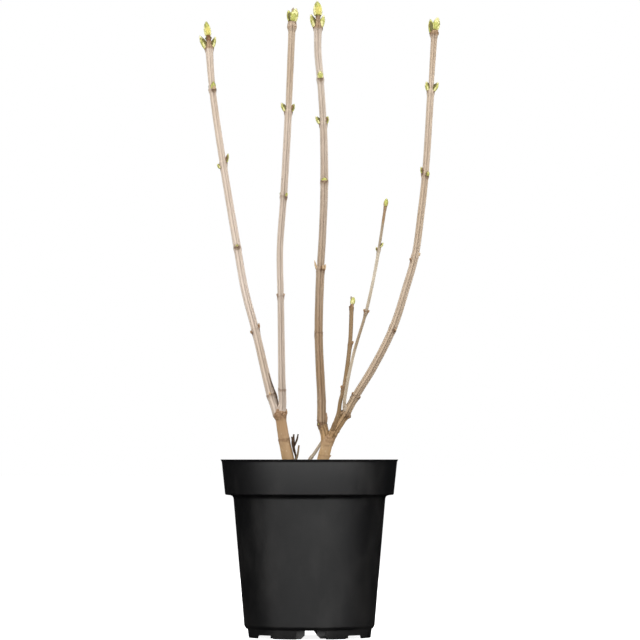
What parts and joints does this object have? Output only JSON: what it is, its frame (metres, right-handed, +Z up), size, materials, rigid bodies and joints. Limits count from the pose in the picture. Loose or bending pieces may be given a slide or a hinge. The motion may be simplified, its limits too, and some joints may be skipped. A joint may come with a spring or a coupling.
{
  "type": "potted lilac shrub",
  "caption": "Young bare lilac in swelling bud: tall slender shoots fork from low stems in a round black nursery pot with a deep collar.",
  "frame": {"origin": "on the ground under the middle of the whole plant's box; the pot's axis stands 10 mm from it towards -X", "axes": "+Z straight up along the pot's axis, +X to the right and -Y towards the viewer as the plant is seen from its front"},
  "size_m": [0.2608, 0.19, 0.6903],
  "materials": {
    "pot_plastic": "satin",
    "potting_soil": "matte",
    "stem_bark": "matte",
    "shoot_bark": "matte",
    "brown_bark": "matte",
    "twig_bark": "matte",
    "bud_scales": "satin",
    "dead_bark": "matte"
  },
  "bodies": {
    "root": {"pot": "pot_plastic", "potting_soil": "potting_soil", "left_stem": "stem_bark", "right_stem": "stem_bark", "shoot_far_left": "shoot_bark", "shoot_mid_left": "shoot_bark", "shoot_mid_right": "brown_bark", "shoot_far_right": "shoot_bark", "long_twig": "twig_bark", "short_twig": "brown_bark", "far_left_buds": "bud_scales", "mid_left_buds": "bud_scales", "mid_right_buds": "bud_scales", "far_right_buds": "bud_scales", "long_twig_buds": "bud_scales", "short_twig_buds": "bud_scales", "dead_spur": "dead_bark", "stub_twig": "twig_bark", "loose_twig": "twig_bark"}
  },
  "joints": []
}
